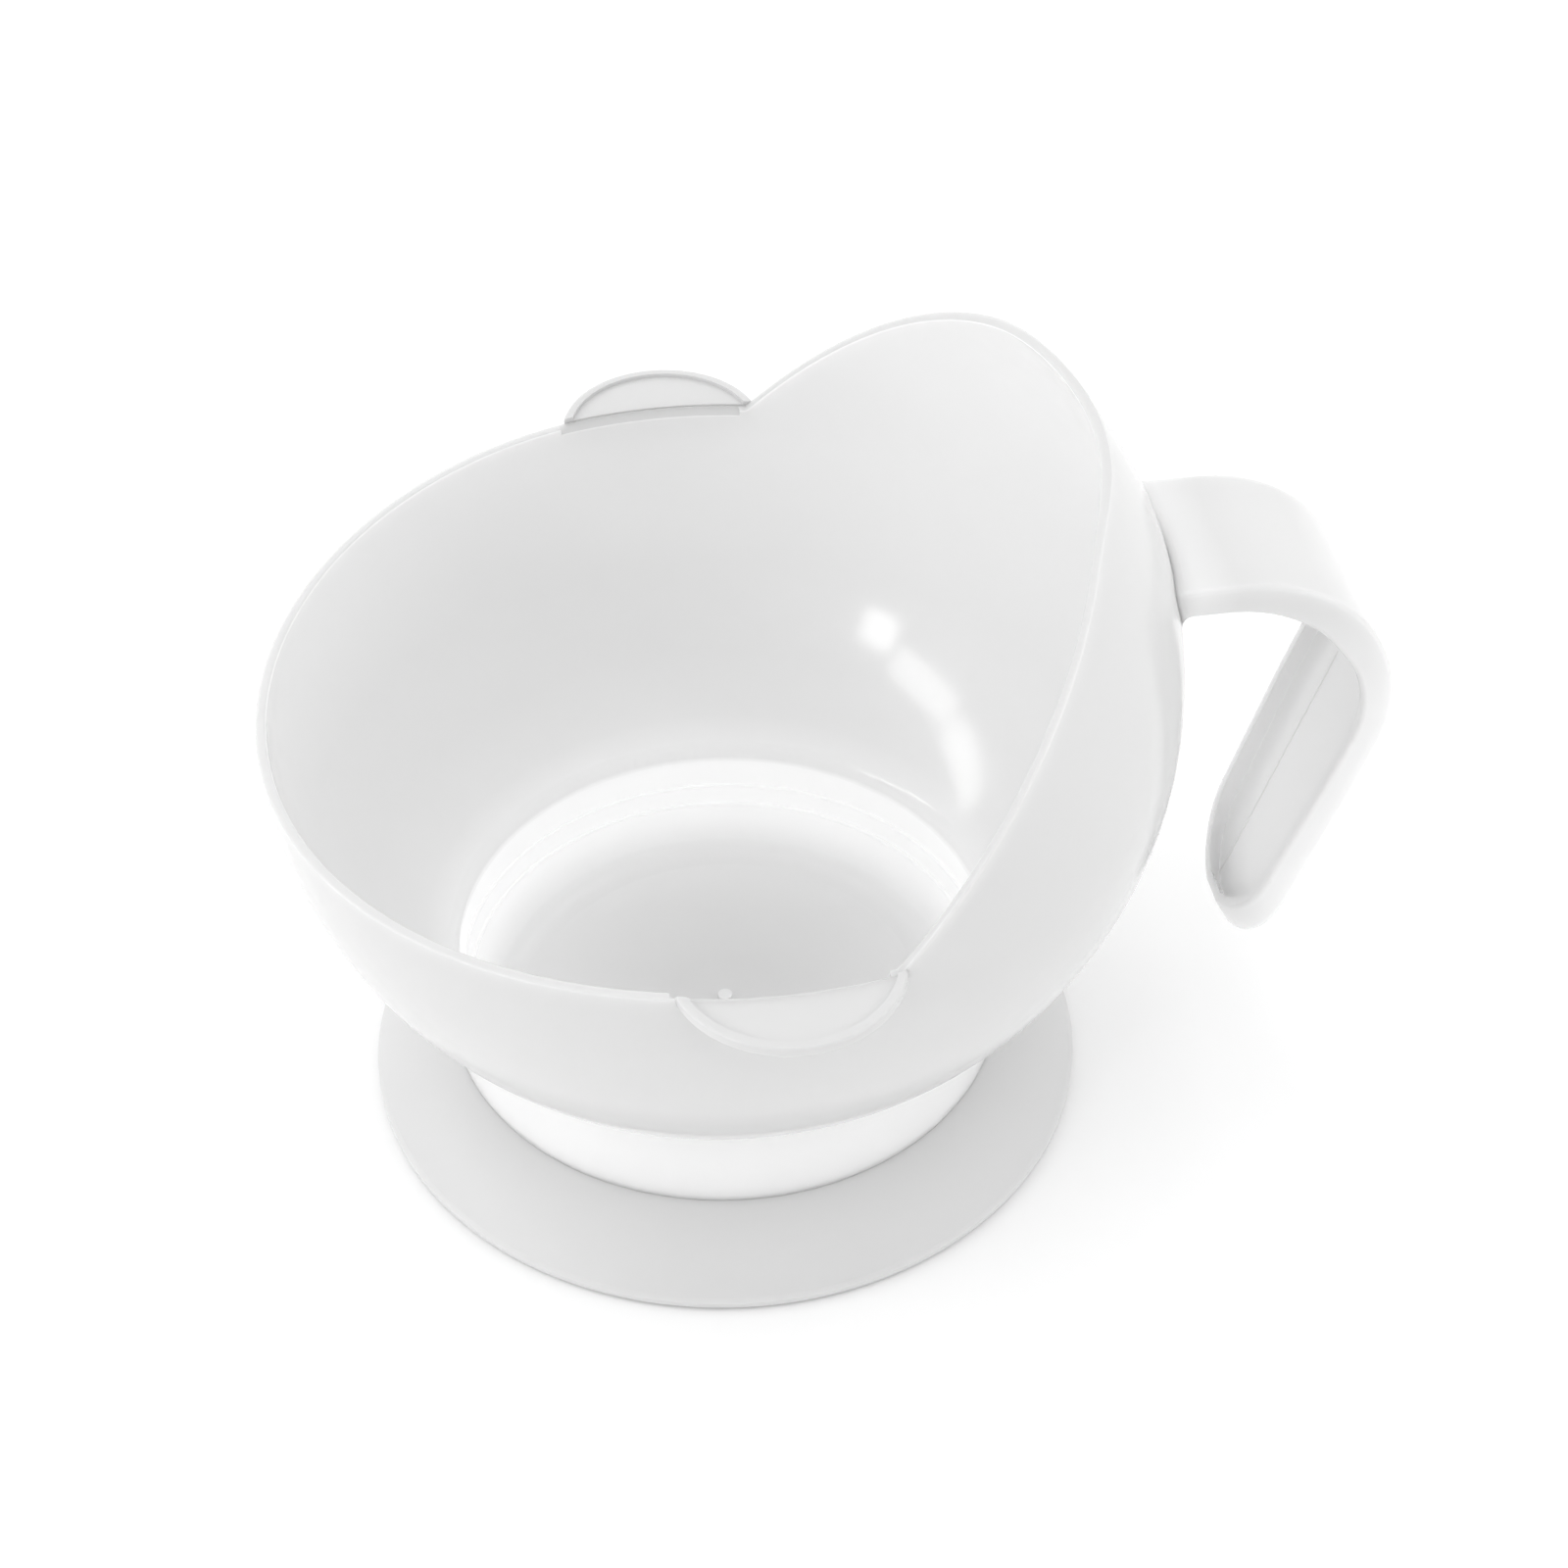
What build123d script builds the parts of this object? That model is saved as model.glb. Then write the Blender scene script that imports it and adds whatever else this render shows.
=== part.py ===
"""Hair colour mixing bowl.

A thin round bowl with a raised back, two side ears, a hook handle and a wide soft
base that grips the bowl's foot. The origin is the centre of the base's rim on the
table, +Z is up and +X points to the handle. All lengths are in millimetres.
"""

import math
import os

from build123d import *

# Bowl wall: half an ellipse below the equator and half an ellipse above it.
equator_radius = 60.25
equator_height = 66.5
depth_below_equator = 58.0
height_above_equator = 60.9
wall = 1.4
upper_arc = 70.0

# Rim, seen from the side: a low front, a level run between the ears and a raised back.
front_rim_height = 65.4
middle_rim_place = -37.0
middle_rim_height = 67.6
side_rim_height = 68.7
side_rim_front = -14.4
back_slope = 47.6
back_foot = 12.5
back_foot_radius = 1.0
back_height = 102.6
back_corner_radius = 6.5
rim_edge_radius = 0.3

# Bevel down into the bowl along the level run, beside the ears.
bevel_land = 0.45
bevel_angle = 48.0

# Foot: a cup below the bowl, with its floor close to the table.
foot_radius = 38.7
foot_cup_radius = 36.9
foot_cup_edge = 3.4
foot_floor_height = 7.9
foot_floor_corner = 9.0
foot_root_radius = 2.0
shoulder_height = 8.9
spigot_radius = 37.0
spigot_bottom = 5.9
heel_groove_inner = 31.0
heel_groove_outer = 35.2
heel_groove_top = 9.6
heel_groove_step = 1.2
level_ring_heights = (15.9, 13.0)
level_ring_radius = 0.3
gate_nub_radius = 1.0
gate_nub_height = 0.9
gate_nub_root = 0.5

# Hairline between the wall and what ends on it.
wall_gap = 0.02

# Ears: round tabs that stick out of the rim on both sides.
ear_radius = 14.2
ear_centre = 54.9
ear_offset = -0.1
ear_top = 69.4
ear_panel_top = 68.8
ear_thickness = 1.5
ear_bead_width = 1.2
ear_edge_radius = 0.3

# Hook handle: a strap with a flange along each edge, bent down into a hook.
strap_width = 24.8
leg_width = 22.8
web = 1.8
flange = 1.6
outer_path = ((52.0, 83.35), (84.5, 83.35), (88.6, 59.35), (71.6, 7.0))
outer_bend_radii = (22.5, 18.0)
inner_path = ((52.0, 79.2), (73.5, 79.2), (85.5, 62.9), (67.8, 10.4))
inner_bend_radii = (19.2, 14.5)
tip_height = 18.6
tip_slant = 63.0
tip_flat = 5.0
tip_round_length = 13.0
leg_taper_length = 33.0
strap_edge_radius = 0.7
cutter_lead = 2.0
cutter_length = 14.0
root_radius = 1.5
rib_width = 0.4
rib_height = 0.12
rib_offset = 4.1

# Soft base: a flared skirt, a collar round the bowl's spigot and a web below the floor.
base_radius = 50.0
base_lip_height = 1.1
base_lip_width = 1.3
base_lip_chamfer = 0.4
skirt_end_inset = 0.6
skirt_end_height = 1.6
skirt_bulge = 0.9
skirt_drop = 2.8
spigot_clearance = 0.08
seat_clearance = 0.1
base_web_bottom = 3.8

big = 90.0


def wall_angle(radius, inset):
    """Angle on the wall's lower ellipse, moved in by inset, where it has a radius."""
    return math.degrees(math.acos(radius / (equator_radius - inset)))


def inset_path(points, distance):
    """Shift an open path to its right by a distance, run by run."""
    runs = [Vector(*end) - Vector(*start) for start, end in zip(points, points[1:])]
    sides = [Vector(run.Y, -run.X).normalized() for run in runs]
    shifted = [Vector(*points[0]) + sides[0] * distance]
    for corner, before, after in zip(points[1:-1], sides, sides[1:]):
        middle = (before + after).normalized()
        shifted.append(Vector(*corner) + middle * (distance / middle.dot(before)))
    shifted.append(Vector(*points[-1]) + sides[-1] * distance)
    return [(point.X, point.Y) for point in shifted]


def finish(part, name):
    """Name a piece and write it."""
    part.label = name
    export_step(part, f"parts/{name}.step")


os.makedirs("parts", exist_ok=True)
equator_centre = (0, equator_height)


def outside_solid(grow):
    """Solid shape of the wall's outside, grown a little, that the ears and the handle end on."""
    with BuildPart() as outside:
        with BuildSketch(Plane.XZ):
            with BuildLine():
                below = EllipticalCenterArc(
                    equator_centre,
                    equator_radius + grow,
                    depth_below_equator + grow,
                    -90,
                    arc_size=90,
                )
                above = EllipticalCenterArc(
                    equator_centre,
                    equator_radius + grow,
                    height_above_equator + grow,
                    0,
                    arc_size=90,
                )
                Line(above @ 1, below @ 0)
            make_face()
        revolve(axis=Axis.Z)
    return outside.part


def bevel_cutter():
    """What the bevel takes off the rim's level run, on both sides of the bowl."""
    with BuildPart() as cutter:
        with BuildSketch(Plane.XZ):
            bevel_outer = equator_radius - bevel_land
            bevel_inner = bevel_outer - 2 * wall
            bevel_drop = 2 * wall * math.tan(math.radians(bevel_angle))
            Polygon(
                (bevel_outer, side_rim_height),
                (bevel_inner, side_rim_height - bevel_drop),
                (bevel_inner, side_rim_height + wall),
                (bevel_outer, side_rim_height + wall),
                align=None,
            )
        revolve(axis=Axis.Z)
        with BuildSketch(Plane.XY):
            level_run = back_foot - back_foot_radius - side_rim_front
            with Locations((side_rim_front + level_run / 2, 0)):
                Rectangle(level_run, 2 * big)
        extrude(amount=big, mode=Mode.INTERSECT)
    return cutter.part


# Bowl shell with its foot, before the rim is cut.
with BuildPart() as bowl_shell:
    with BuildSketch(Plane.XZ):
        with BuildLine():
            start = wall_angle(foot_radius, 0)
            outer_below = EllipticalCenterArc(
                equator_centre, equator_radius, depth_below_equator, -start, arc_size=start
            )
            outer_above = EllipticalCenterArc(
                equator_centre, equator_radius, height_above_equator, 0, arc_size=upper_arc
            )
            inner_above = EllipticalCenterArc(
                equator_centre,
                equator_radius - wall,
                height_above_equator - wall,
                0,
                arc_size=upper_arc,
            )
            inner_start = wall_angle(foot_cup_radius, wall)
            inner_below = EllipticalCenterArc(
                equator_centre,
                equator_radius - wall,
                depth_below_equator - wall,
                -inner_start,
                arc_size=inner_start,
            )
            Line(outer_above @ 1, inner_above @ 1)
            cup_corner = (foot_cup_radius, foot_floor_height + foot_floor_corner)
            floor_corner = (foot_cup_radius - foot_floor_corner, foot_floor_height)
            Line(inner_below @ 0, cup_corner)
            RadiusArc(cup_corner, floor_corner, foot_floor_corner)
            Polyline(
                floor_corner,
                (0, foot_floor_height),
                (0, spigot_bottom),
                (heel_groove_inner, spigot_bottom),
                (heel_groove_inner, spigot_bottom + heel_groove_step),
                (heel_groove_outer, heel_groove_top),
                (heel_groove_outer, spigot_bottom),
                (spigot_radius, spigot_bottom),
                (spigot_radius, shoulder_height),
                (foot_radius, shoulder_height),
                outer_below @ 0,
            )
        make_face()
    revolve(axis=Axis.Z)
    # Rounded step from the wall into the foot, inside and outside.
    cup_edges = bowl_shell.edges().filter_by(GeomType.CIRCLE)
    cup_edge = cup_edges.filter_by(lambda edge: abs(edge.radius - foot_cup_radius) < 0.01)
    fillet(cup_edge.sort_by(Axis.Z)[-1], radius=foot_cup_edge)
    foot_edges = bowl_shell.edges().filter_by(GeomType.CIRCLE)
    foot_edge = foot_edges.filter_by(lambda edge: abs(edge.radius - foot_radius) < 0.01)
    fillet(foot_edge.sort_by(Axis.Z)[-1], radius=foot_root_radius)
    # Two level rings on the cup wall and the gate nub on its floor.
    for ring_height in level_ring_heights:
        ring_drop = max(0.0, cup_corner[1] - ring_height)
        ring_reach = foot_floor_corner - math.sqrt(foot_floor_corner**2 - ring_drop**2)
        with BuildSketch(Plane.XZ):
            with Locations((foot_cup_radius - ring_reach, ring_height)):
                Circle(level_ring_radius)
        revolve(axis=Axis.Z)
    with BuildSketch(Plane.XY.offset(foot_floor_height - gate_nub_root)):
        Circle(gate_nub_radius)
    extrude(amount=gate_nub_height + gate_nub_root)
    # Side view of the rim: low front, level run, slope and raised back.
    with BuildSketch(Plane.XZ):
        with BuildLine():
            slope_run = (back_height - side_rim_height) / math.tan(math.radians(back_slope))
            low_rim = ThreePointArc(
                (-equator_radius, front_rim_height),
                (middle_rim_place, middle_rim_height),
                (side_rim_front, side_rim_height),
            )
            high_rim = FilletPolyline(
                (side_rim_front, side_rim_height),
                (back_foot, side_rim_height),
                (back_foot + slope_run, back_height),
                (big, back_height),
                radius=(back_foot_radius, back_corner_radius),
            )
            Line(low_rim @ 1, high_rim @ 0)
            Polyline(
                high_rim @ 1,
                (big, 0),
                (-big, 0),
                (-big, front_rim_height),
                low_rim @ 0,
            )
        make_face()
    extrude(amount=big, both=True, mode=Mode.INTERSECT)
    rim_faces = bowl_shell.faces().filter_by(GeomType.REVOLUTION, reverse=True)
    rim_faces = rim_faces.filter_by(lambda face: face.center().Z > front_rim_height - wall)
    rim_edges = rim_faces.edges().filter_by(lambda edge: edge.length > 3 * wall)
    fillet(rim_edges, radius=rim_edge_radius)
    add(bevel_cutter(), mode=Mode.SUBTRACT)
finish(bowl_shell.part, "bowl_shell")

# Ears, each ending on the outside of the wall.
for side, name in ((-1, "ear_left"), (1, "ear_right")):
    ear_middle = (ear_offset, side * ear_centre)
    with BuildPart() as ear:
        with BuildSketch(Plane.XY.offset(ear_top - ear_thickness)):
            with Locations(ear_middle):
                Circle(ear_radius)
        extrude(amount=ear_thickness)
        bead_edges = ear.edges().filter_by(GeomType.CIRCLE)
        fillet(bead_edges, radius=ear_edge_radius)
        with BuildSketch(Plane.XY.offset(ear_panel_top)):
            with Locations(ear_middle):
                Circle(ear_radius - ear_bead_width)
        extrude(amount=big, mode=Mode.SUBTRACT)
        add(outside_solid(wall_gap), mode=Mode.SUBTRACT)
    finish(ear.part, name)

# Hook handle: side view of the strap, with its channel facing the bowl.
leg_end = Vector(*inner_path[-1])
leg_rise = (Vector(*inner_path[-2]) - leg_end).normalized()
tip_run = (tip_height - leg_end.Y) / leg_rise.Y
slant = Vector(math.cos(math.radians(tip_slant)), 0, -math.sin(math.radians(tip_slant)))
tip_plane = Plane(
    origin=Vector(leg_end.X + leg_rise.X * tip_run, 0, tip_height) - slant * cutter_lead,
    x_dir=(0, 1, 0),
    z_dir=(leg_rise.Y, 0, -leg_rise.X),
)


def tip_cutter(inset):
    """Everything outside the leg's tapered, rounded outline, with that outline moved in by inset."""
    with BuildPart() as cutter:
        for side in (-1, 1):
            with BuildSketch(tip_plane):
                with BuildLine():
                    side_end = (side * (leg_width / 2 - inset), tip_round_length)
                    flat_end = (side * tip_flat / 2, inset)
                    TangentArc(side_end, flat_end, tangent=(0, -1))
                    Polyline(
                        flat_end,
                        (0, inset),
                        (0, -leg_taper_length),
                        (side * strap_width, -leg_taper_length),
                        (side * strap_width, leg_taper_length),
                        (side * (strap_width / 2 - inset), leg_taper_length),
                        side_end,
                    )
                make_face()
            extrude(amount=cutter_length, dir=slant)
    return cutter.part


with BuildPart() as rib:
    with BuildSketch(Plane.XZ.offset(-rib_offset)):
        rib_root = inset_path(outer_path, web)[-2:]
        rib_crest = inset_path(outer_path, web + rib_height)[-2:]
        Polygon(*rib_root, *reversed(rib_crest), align=None)
    extrude(amount=rib_width / 2, both=True)

with BuildPart() as channel:
    with BuildSketch(Plane.XZ):
        with BuildLine():
            floor_radii = [radius - web for radius in outer_bend_radii]
            channel_floor = FilletPolyline(*inset_path(outer_path, web), radius=floor_radii)
            Polyline(
                channel_floor @ 1,
                (foot_radius, (channel_floor @ 1).Y),
                (foot_radius, (channel_floor @ 0).Y),
                channel_floor @ 0,
            )
        make_face()
    extrude(amount=strap_width / 2 - flange, both=True)
    add(tip_cutter(flange), mode=Mode.SUBTRACT)
    add(rib.part, mode=Mode.SUBTRACT)

with BuildPart() as hook_handle:
    with BuildSketch(Plane.XZ):
        with BuildLine():
            outer_face = FilletPolyline(*outer_path, radius=outer_bend_radii)
            inner_face = FilletPolyline(*inner_path, radius=inner_bend_radii)
            Line(outer_face @ 0, inner_face @ 0)
            Line(outer_face @ 1, inner_face @ 1)
        make_face()
    extrude(amount=strap_width / 2, both=True)
    add(tip_cutter(0), mode=Mode.SUBTRACT)
    # The strap's own edges are rounded, but not the seams between its bends.
    bend_seams = hook_handle.edges().filter_by(Axis.Y)
    bend_seams = bend_seams.filter_by(lambda edge: edge.length > 2 * tip_flat)
    strap_edges = hook_handle.edges() - bend_seams
    strap_edges = strap_edges.filter_by(lambda edge: edge.center().X > outer_path[0][0] + wall)
    fillet(strap_edges, radius=strap_edge_radius)
    add(channel.part, mode=Mode.SUBTRACT)
    # The root is rounded against the bowl's outside, which is then taken away again.
    add(outside_solid(0))
    fillet(hook_handle.edges(Select.NEW), radius=root_radius)
    add(outside_solid(wall_gap), mode=Mode.SUBTRACT)
finish(hook_handle.part, "hook_handle")

# Soft base, revolved: collar round the spigot, flared skirt, lip, and web under the floor.
with BuildPart() as suction_base:
    with BuildSketch(Plane.XZ):
        with BuildLine():
            collar_top = shoulder_height - seat_clearance
            seat = spigot_bottom - seat_clearance
            bore = spigot_radius + spigot_clearance
            lip_top = (base_radius - skirt_end_inset, skirt_end_height)
            skirt_chord = Vector(*lip_top) - Vector(foot_radius, collar_top)
            skirt_out = Vector(-skirt_chord.Y, skirt_chord.X).normalized()
            skirt_middle = (
                Vector(foot_radius, collar_top) + skirt_chord * 0.5 + skirt_out * skirt_bulge
            )
            ThreePointArc((foot_radius, collar_top), skirt_middle, lip_top)
            lip_foot = (base_radius - base_lip_width, 0)
            underside = ThreePointArc(
                lip_foot,
                (skirt_middle.X, skirt_middle.Y - skirt_drop),
                (spigot_radius, base_web_bottom),
            )
            Polyline(
                lip_top,
                (base_radius, base_lip_height),
                (base_radius, base_lip_chamfer),
                (base_radius - base_lip_chamfer, 0),
                lip_foot,
            )
            Polyline(
                underside @ 1,
                (0, base_web_bottom),
                (0, seat),
                (bore, seat),
                (bore, collar_top),
                (foot_radius, collar_top),
            )
        make_face()
    revolve(axis=Axis.Z)
finish(suction_base.part, "suction_base")
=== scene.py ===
"""Looks of the hair colour bowl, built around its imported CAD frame.

Lengths and heights are in metres. A tone is a grey level from 0 to 1.
"""

import math

import bpy
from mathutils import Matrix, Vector

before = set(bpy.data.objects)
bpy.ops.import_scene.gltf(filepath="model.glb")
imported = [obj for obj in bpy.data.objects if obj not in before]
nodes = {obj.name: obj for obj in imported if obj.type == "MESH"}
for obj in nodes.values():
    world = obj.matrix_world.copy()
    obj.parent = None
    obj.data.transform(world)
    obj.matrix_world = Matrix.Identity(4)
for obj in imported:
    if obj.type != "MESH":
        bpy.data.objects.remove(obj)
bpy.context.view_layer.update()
scene = bpy.context.scene

# Middle surface of the bowl's wall: half an ellipsoid below the equator and half above.
WALL = 0.0014
WALL_CENTRE = (0, 0, 0.0665)
WALL_RADIUS = 0.06025 - WALL / 2
WALL_DEPTH = 0.0580 - WALL / 2
WALL_RISE = 0.0609 - WALL / 2

# Middle of the foot's wall, between the cup inside it and its outer face.
FOOT_RADIUS = (0.0369 + 0.0387) / 2

# Half width of the change from inside to outside: a share of the wall's own distance
# from its centre, and a length at the foot.
WALL_SOFTNESS = 0.003
FOOT_SOFTNESS = 0.0002

# The rim's face fades out between these distances from the wall's middle surface, as
# shares of that surface's own distance, and fades in between these heights.
RIM_START, RIM_END = 0.0095, 0.0110
RIM_LOW, RIM_HIGH = 0.060, 0.062
# The rim's face gets a darker tone than the inside wall beside it: painted shade.
RIM_SHADE_TONE = 0.57

# Tones by height, with painted light and shade: the inside is painted lighter than the
# outside and lighter again towards the rim, and the thick foot is painted whiter than the
# wall, which stands in for light carried through the milky foot. Inside, the height also
# grows a little with the distance from the axis, which paints shade in the middle of the
# cup's level floor.
RAMP_TOP = 0.11
FLOOR_SHADE_SLOPE = 0.035
INSIDE_PAINTED_TONES = (
    (0.0082, 0.71),
    (0.0108, 0.92),
    (0.0215, 0.98),
    (0.0228, 0.82),
    (0.0275, 0.72),
    (0.0350, 0.69),
    (0.0470, 0.69),
    (0.0670, 0.76),
    (0.0820, 0.83),
    (0.1020, 0.90),
)
# Outside, the wall is painted darker than the inside, and the foot whiter: painted light and shade.
OUTSIDE_PAINTED_TONES = ((0.0090, 0.86), (0.0235, 0.78), (0.0245, 0.605), (0.0650, 0.59), (0.1000, 0.63))

# Emission strength inside the cup by height. It stands in for light that the milky foot
# gathers and gives out again, so it isn't a property of the plastic.
GLOW_TONES = (
    (0.0082, 0.02),
    (0.0108, 0.17),
    (0.0150, 0.14),
    (0.0215, 0.14),
    (0.0228, 0.03),
    (0.0290, 0.0),
)

# Tones of the handle by height, painted light and shade that make it lighter down its leg
# and darker on its top, and how much whiter its root is painted than the rest, as painted
# light, which fades out between these distances along X.
HANDLE_PAINTED_TONES = ((0.0200, 0.88), (0.0600, 0.84), (0.0780, 0.69))
ROOT_PAINTED_LIGHT = 1.14
ROOT_START, ROOT_END = 0.0600, 0.0650

# Tones of the ears and the base, and how far mottling takes them up and down.
EAR_TONE = 0.595
BASE_TONE = 0.67
MOTTLE = 0.01
MOTTLE_SCALE = 35
MOTTLE_DETAIL = 3

# Faint flow clouds over every tone.
CLOUD_RANGE = (0.98, 1.02)
CLOUD_SCALE = 28
CLOUD_DETAIL = 3

# Finishes: the range of roughness, the weight and the distance of light scattered below
# the surface, and the scale and the depth of the fine grain.
BOWL_FINISH = {"roughness": (0.10, 0.18), "weight": 0.8, "scatter": 0.004, "grain": 60, "relief": 0.0005}
HANDLE_FINISH = {"roughness": (0.12, 0.22), "weight": 0.8, "scatter": 0.004, "grain": 60, "relief": 0.0005}
EAR_FINISH = {"roughness": (0.12, 0.22), "weight": 0.4, "scatter": 0.003, "grain": 60, "relief": 0.0005}
BASE_FINISH = {"roughness": (0.38, 0.5), "weight": 0.4, "scatter": 0.004, "grain": 400, "relief": 0.0002}
PLASTIC_IOR = 1.49
GLOSS_SCALE = 160
GLOSS_DETAIL = 5
GRAIN_DETAIL = 2
GRAIN_STRENGTH = 0.08

# Floor: a square this far out from the middle, a hair below the base.
FLOOR_REACH = 3.0
FLOOR_DROP = 0.0004
FLOOR_WHITE = (0.97, 0.97, 0.97, 1)
FLOOR_ROUGHNESS = 0.9

# Surroundings: brightest in one direction and dimmest opposite it.
SKY_DIRECTION = (0.15, 0.3, 1)
SKY_DIM, SKY_BRIGHT = 0.2, 1.32

# Soft lights: bearing, elevation, width and height in degrees as the bowl sees them, and
# radiance.
SOFTBOX_DISTANCE = 0.9
SOFTBOX_TARGET = (0, 0, 0.04)
SOFTBOXES = {
    "left_high": (-146, 20, 10, 10, 7),
    "left_middle": (-166, 25, 22, 9, 5),
    "left_low": (168, 27, 22, 9, 5),
    "right": (-27, 25, 34, 8, 3),
}

# Camera: lens and sensor in millimetres, angles in degrees.
CAMERA_SENSOR = 36.0
CAMERA_LENS = 70.73
CAMERA_PLACE = (-0.0420, -0.3065, 0.3233)
CAMERA_PITCH = 41.59
CAMERA_TURN = 9.359
CAMERA_NEAR, CAMERA_FAR = 0.01, 20


# ---------------------------------------------------------------- node helpers


def new_material(name):
    """An empty node material with its output and a Principled shader."""
    material = bpy.data.materials.new(name)
    material.use_nodes = True
    tree = material.node_tree
    tree.nodes.clear()
    output = tree.nodes.new("ShaderNodeOutputMaterial")
    shader = tree.nodes.new("ShaderNodeBsdfPrincipled")
    tree.links.new(shader.outputs["BSDF"], output.inputs["Surface"])
    return material, tree, shader


def place(tree):
    """The surface's place in object coordinates."""
    return tree.nodes.new("ShaderNodeTexCoord").outputs["Object"]


def along(tree, axis):
    """The surface's place along X, Y or Z."""
    split = tree.nodes.new("ShaderNodeSeparateXYZ")
    tree.links.new(place(tree), split.inputs["Vector"])
    return split.outputs[axis]


def noise(tree, scale, detail):
    """A noise texture over the surface's place."""
    texture = tree.nodes.new("ShaderNodeTexNoise")
    texture.inputs["Scale"].default_value = scale
    texture.inputs["Detail"].default_value = detail
    tree.links.new(place(tree), texture.inputs["Vector"])
    return texture.outputs["Fac"]


def ranged(tree, value, low, high, from_low=0.0, from_high=1.0):
    """A value spread from one range to another, and held at its ends."""
    node = tree.nodes.new("ShaderNodeMapRange")
    node.inputs["From Min"].default_value = from_low
    node.inputs["From Max"].default_value = from_high
    node.inputs["To Min"].default_value = low
    node.inputs["To Max"].default_value = high
    tree.links.new(value, node.inputs["Value"])
    return node.outputs["Result"]


def feed(tree, socket, value):
    """Sets a socket to a number, or links it to another node's output."""
    if isinstance(value, float):
        socket.default_value = value
    else:
        tree.links.new(value, socket)


def math_node(tree, operation, first, second=0.0):
    """One or two values put through one operation."""
    node = tree.nodes.new("ShaderNodeMath")
    node.operation = operation
    feed(tree, node.inputs[0], first)
    feed(tree, node.inputs[1], second)
    return node.outputs["Value"]


def vector_node(tree, operation, vector, constant=(0, 0, 0), output="Vector"):
    """A vector and a constant put through one operation."""
    node = tree.nodes.new("ShaderNodeVectorMath")
    node.operation = operation
    tree.links.new(vector, node.inputs[0])
    node.inputs[1].default_value = constant
    return node.outputs[output]


def length(tree, vector):
    """The length of a vector."""
    return vector_node(tree, "LENGTH", vector, output="Value")


def mixed(tree, factor, low, high):
    """A blend of two values by a factor."""
    node = tree.nodes.new("ShaderNodeMix")
    feed(tree, node.inputs["Factor"], factor)
    feed(tree, node.inputs["A"], low)
    feed(tree, node.inputs["B"], high)
    return node.outputs["Result"]


def tones(tree, height, stops):
    """Grey tone by height."""
    ramp = tree.nodes.new("ShaderNodeValToRGB")
    elements = ramp.color_ramp.elements
    while len(elements) < len(stops):
        elements.new(0.5)
    for element, (level, tone) in zip(elements, stops):
        element.position = level / RAMP_TOP
        element.color = (tone, tone, tone, 1)
    tree.links.new(ranged(tree, height, 0.0, 1.0, 0.0, RAMP_TOP), ramp.inputs["Fac"])
    return ramp.outputs["Color"]


def bump(tree, shader, height, strength, distance):
    """Fine relief on a shader's surface."""
    node = tree.nodes.new("ShaderNodeBump")
    node.inputs["Strength"].default_value = strength
    node.inputs["Distance"].default_value = distance
    tree.links.new(height, node.inputs["Height"])
    tree.links.new(node.outputs["Normal"], shader.inputs["Normal"])


# ---------------------------------------------------------------- places on the bowl


def from_axis(tree):
    """Distance from the bowl's axis."""
    return length(tree, vector_node(tree, "MULTIPLY", place(tree), (1, 1, 0)))


def wall_reach(tree):
    """Distance from the wall's centre, as a share of its middle surface's own distance."""
    from_centre = vector_node(tree, "SUBTRACT", place(tree), WALL_CENTRE)
    reaches = []
    for operation, limit, depth in (("MINIMUM", 1.0, WALL_DEPTH), ("MAXIMUM", -1.0, WALL_RISE)):
        half = vector_node(tree, operation, from_centre, (limit, limit, 0))
        scale = (1 / WALL_RADIUS, 1 / WALL_RADIUS, 1 / depth)
        reaches.append(length(tree, vector_node(tree, "MULTIPLY", half, scale)))
    return math_node(tree, "MAXIMUM", *reaches)


def outside_share(tree, reach):
    """0 inside the bowl and its foot cup, and 1 on their outer side."""
    foot_limits = FOOT_RADIUS - FOOT_SOFTNESS, FOOT_RADIUS + FOOT_SOFTNESS
    past_foot = ranged(tree, from_axis(tree), 0.0, 1.0, *foot_limits)
    past_wall = ranged(tree, reach, 0.0, 1.0, 1 - WALL_SOFTNESS, 1 + WALL_SOFTNESS)
    return math_node(tree, "MINIMUM", past_foot, past_wall)


def rim_share(tree, reach, height):
    """1 on the rim's face between the wall's two sides, and 0 elsewhere."""
    off_middle = math_node(tree, "ABSOLUTE", math_node(tree, "SUBTRACT", reach, 1.0))
    between = ranged(tree, off_middle, 1.0, 0.0, RIM_START, RIM_END)
    above = ranged(tree, height, 0.0, 1.0, RIM_LOW, RIM_HIGH)
    return math_node(tree, "MULTIPLY", between, above)


# ---------------------------------------------------------------- materials


def milky(name, roughness, weight, scatter, grain, relief):
    """Milky plastic, still without its colour."""
    material, tree, shader = new_material(name)
    gloss = ranged(tree, noise(tree, GLOSS_SCALE, GLOSS_DETAIL), *roughness)
    tree.links.new(gloss, shader.inputs["Roughness"])
    shader.inputs["IOR"].default_value = PLASTIC_IOR
    shader.inputs["Subsurface Weight"].default_value = weight
    shader.inputs["Subsurface Radius"].default_value = (1, 1, 1)
    shader.inputs["Subsurface Scale"].default_value = scatter
    bump(tree, shader, noise(tree, grain, GRAIN_DETAIL), GRAIN_STRENGTH, relief)
    return material, tree, shader


def clouded(tree, shader, tone):
    """Faint flow clouds over a tone, into the shader's colour."""
    clouds = ranged(tree, noise(tree, CLOUD_SCALE, CLOUD_DETAIL), *CLOUD_RANGE)
    tree.links.new(math_node(tree, "MULTIPLY", tone, clouds), shader.inputs["Base Color"])


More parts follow.
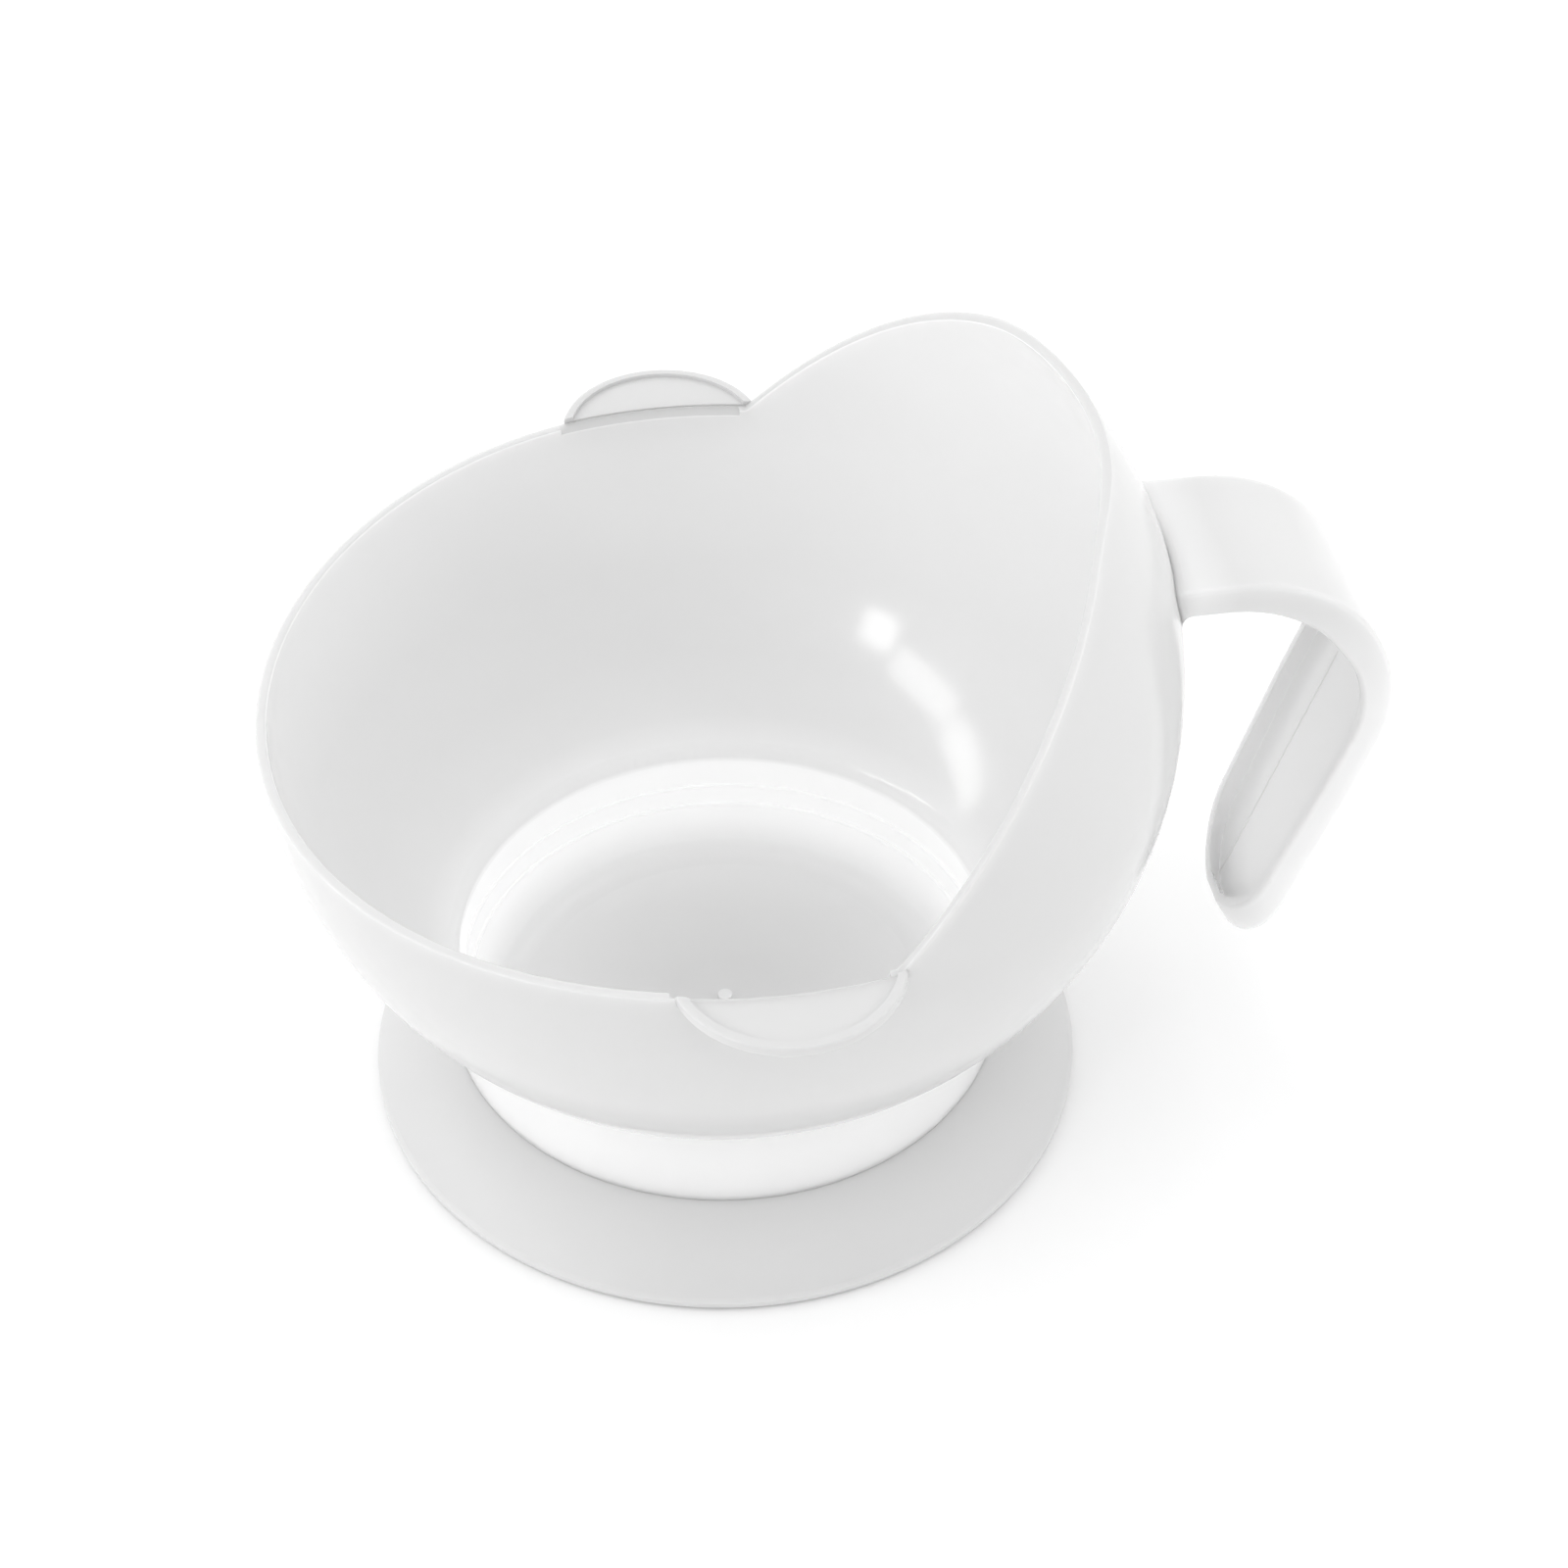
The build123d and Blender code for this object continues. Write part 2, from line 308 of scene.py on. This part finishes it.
def bowl_plastic():
    """Glossy, milky polypropylene of the bowl's body, with painted light and shade in its colour and a
    painted glow in its cup.
    """
    material, tree, shader = milky("bowl_polypropylene", **BOWL_FINISH)
    height = along(tree, "Z")
    reach = wall_reach(tree)
    share = outside_share(tree, reach)
    # Painted shade: the tone inside rises with the distance from the axis, so the middle of the cup's
    # level floor is darker.
    floor_shade = math_node(tree, "MULTIPLY", from_axis(tree), FLOOR_SHADE_SLOPE)
    level = math_node(tree, "ADD", height, floor_shade)
    # Painted light and shade by height, inside and outside.
    inside = tones(tree, level, INSIDE_PAINTED_TONES)
    outside = tones(tree, height, OUTSIDE_PAINTED_TONES)
    sides = mixed(tree, share, inside, outside)
    # The rim's face takes its darker tone: painted shade.
    clouded(tree, shader, mixed(tree, rim_share(tree, reach, height), sides, RIM_SHADE_TONE))
    inside_share = ranged(tree, share, 1.0, 0.0)
    glow = math_node(tree, "MULTIPLY", tones(tree, level, GLOW_TONES), inside_share)
    tree.links.new(glow, shader.inputs["Emission Strength"])
    return material


def handle_plastic():
    """The handle's plastic, with painted light that makes it whiter down its leg and at its root."""
    material, tree, shader = milky("handle_polypropylene", **HANDLE_FINISH)
    # Painted light: the root is whiter, fading out along X.
    root = ranged(tree, along(tree, "X"), ROOT_PAINTED_LIGHT, 1.0, ROOT_START, ROOT_END)
    # Painted light and shade: lighter down the leg, darker on top.
    strap = tones(tree, along(tree, "Z"), HANDLE_PAINTED_TONES)
    clouded(tree, shader, math_node(tree, "MULTIPLY", strap, root))
    return material


def plain_plastic(name, tone, finish):
    """Milky plastic of one tone, faintly mottled."""
    material, tree, shader = milky(name, **finish)
    mottle = noise(tree, MOTTLE_SCALE, MOTTLE_DETAIL)
    clouded(tree, shader, ranged(tree, mottle, tone - MOTTLE, tone + MOTTLE))
    return material


def give(node_name, material):
    """Puts one material on a CAD node."""
    node = nodes[node_name]
    node.data.materials.clear()
    node.data.materials.append(material)


give("bowl_shell", bowl_plastic())
ear_plastic = plain_plastic("ear_polypropylene", EAR_TONE, EAR_FINISH)
give("ear_left", ear_plastic)
give("ear_right", ear_plastic)
give("hook_handle", handle_plastic())
give("suction_base", plain_plastic("soft_plastic", BASE_TONE, BASE_FINISH))


# ---------------------------------------------------------------- floor, light, camera


def floor():
    """Pale plain floor under the base."""
    signs = ((-1, -1), (1, -1), (1, 1), (-1, 1))
    corners = [(x * FLOOR_REACH, y * FLOOR_REACH, 0) for x, y in signs]
    mesh = bpy.data.meshes.new("floor")
    mesh.from_pydata(corners, [], [(0, 1, 2, 3)])
    plane = bpy.data.objects.new("floor", mesh)
    scene.collection.objects.link(plane)
    plane.location.z = -FLOOR_DROP
    material, tree, shader = new_material("floor_white")
    shader.inputs["Base Color"].default_value = FLOOR_WHITE
    shader.inputs["Roughness"].default_value = FLOOR_ROUGHNESS
    mesh.materials.append(material)


def softbox(name, azimuth, elevation, wide, high, radiance):
    """A soft light at a bearing from the bowl, sized in degrees."""
    turn, rise = math.radians(azimuth), math.radians(elevation)
    level = math.cos(rise)
    away = Vector((math.cos(turn) * level, math.sin(turn) * level, math.sin(rise)))
    data = bpy.data.lights.new(name, "AREA")
    data.shape = "RECTANGLE"
    data.size = 2 * SOFTBOX_DISTANCE * math.tan(math.radians(wide / 2))
    data.size_y = 2 * SOFTBOX_DISTANCE * math.tan(math.radians(high / 2))
    data.energy = radiance * math.pi * data.size * data.size_y
    light = bpy.data.objects.new(name, data)
    light.location = Vector(SOFTBOX_TARGET) + away * SOFTBOX_DISTANCE
    light.rotation_mode = "QUATERNION"
    light.rotation_quaternion = away.to_track_quat("Z", "Y")
    scene.collection.objects.link(light)


def surroundings():
    """White studio surroundings, brightest in one direction."""
    data = bpy.data.worlds.new("studio")
    data.use_nodes = True
    tree = data.node_tree
    background = tree.nodes["Background"]
    background.inputs["Color"].default_value = (1, 1, 1, 1)
    direction = tree.nodes.new("ShaderNodeTexCoord").outputs["Generated"]
    brightest = Vector(SKY_DIRECTION).normalized()
    facing = vector_node(tree, "DOT_PRODUCT", direction, brightest, "Value")
    strength = ranged(tree, facing, SKY_DIM, SKY_BRIGHT, -1.0, 1.0)
    tree.links.new(strength, background.inputs["Strength"])
    scene.world = data


def camera():
    """Stands in front, left of the handle and above, so that the bowl's inside shows."""
    data = bpy.data.cameras.new("camera")
    data.sensor_width = CAMERA_SENSOR
    data.lens = CAMERA_LENS
    data.clip_start, data.clip_end = CAMERA_NEAR, CAMERA_FAR
    seat = bpy.data.objects.new("camera", data)
    seat.location = CAMERA_PLACE
    pitch, turn = math.radians(CAMERA_PITCH), math.radians(CAMERA_TURN)
    seat.rotation_mode = "XYZ"
    seat.rotation_euler = (math.pi / 2 - pitch, 0, -turn)
    scene.collection.objects.link(seat)
    scene.camera = seat


floor()
surroundings()
for box_name, box_values in SOFTBOXES.items():
    softbox(box_name, *box_values)
camera()
scene.view_settings.view_transform = "Standard"
